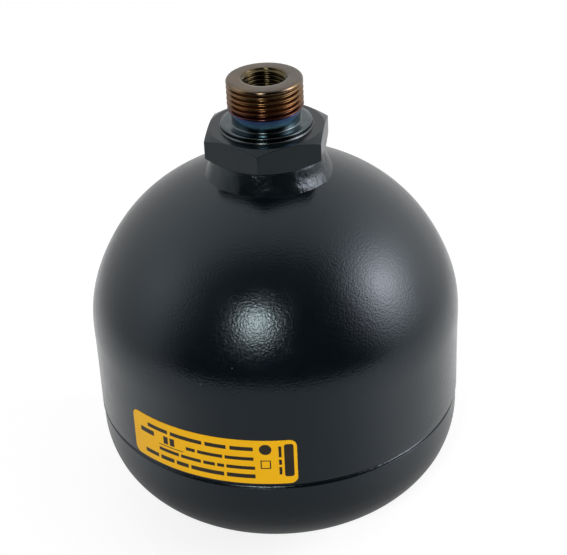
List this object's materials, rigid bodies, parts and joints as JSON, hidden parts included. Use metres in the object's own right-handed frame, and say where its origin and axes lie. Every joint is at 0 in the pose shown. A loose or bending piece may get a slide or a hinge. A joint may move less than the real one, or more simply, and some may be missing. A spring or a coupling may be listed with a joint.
{
  "type": "hydraulic accumulator",
  "caption": "Round welded diaphragm accumulator with a domed crown, a threaded fluid port above a hexagon, a closing button inside and a charging screw underneath.",
  "frame": {"origin": "centre of the flat end of the charging screw, on the axis of the vessel", "axes": "+Z along the axis towards the fluid port; the label faces -Y, a little towards -X"},
  "size_m": [0.1364, 0.1364, 0.1772],
  "materials": {
    "black_paint": "satin black paint with a fine orange-peel",
    "weld_paint": "glossier black paint over a lumpy weld bead",
    "port_steel": "turned steel with heat tint above a painted hexagon",
    "port_steel_painted": "turned steel bush under black paint",
    "plated_steel": "zinc plated turned steel",
    "bare_steel": "plain rolled steel",
    "rubber": "matt moulded rubber",
    "label_film": "amber film with plain dark print fields"
  },
  "bodies": {
    "vessel": {"fluid_shell": "black_paint", "gas_shell": "black_paint", "seam_weld": "black_paint", "port_fitting": "port_steel", "port_weld": "weld_paint", "diaphragm": "rubber", "clamp_ring": "bare_steel", "weld_backing_ring": "bare_steel", "gas_bush": "port_steel_painted", "bush_weld": "weld_paint", "charging_screw": "plated_steel", "screw_seal": "rubber", "label": "label_film"},
    "closing_valve": {"closing_button": "plated_steel", "button_backing_disc": "plated_steel"}
  },
  "joints": [
    {"name": "button_travel", "type": "slide", "parent": "vessel", "child": "closing_valve", "axis": [0, 0, -1], "range_m": [0, 0.105], "stiffness_N_per_m": 40, "springref_m": -0.04, "deforming": ["diaphragm"]}
  ]
}
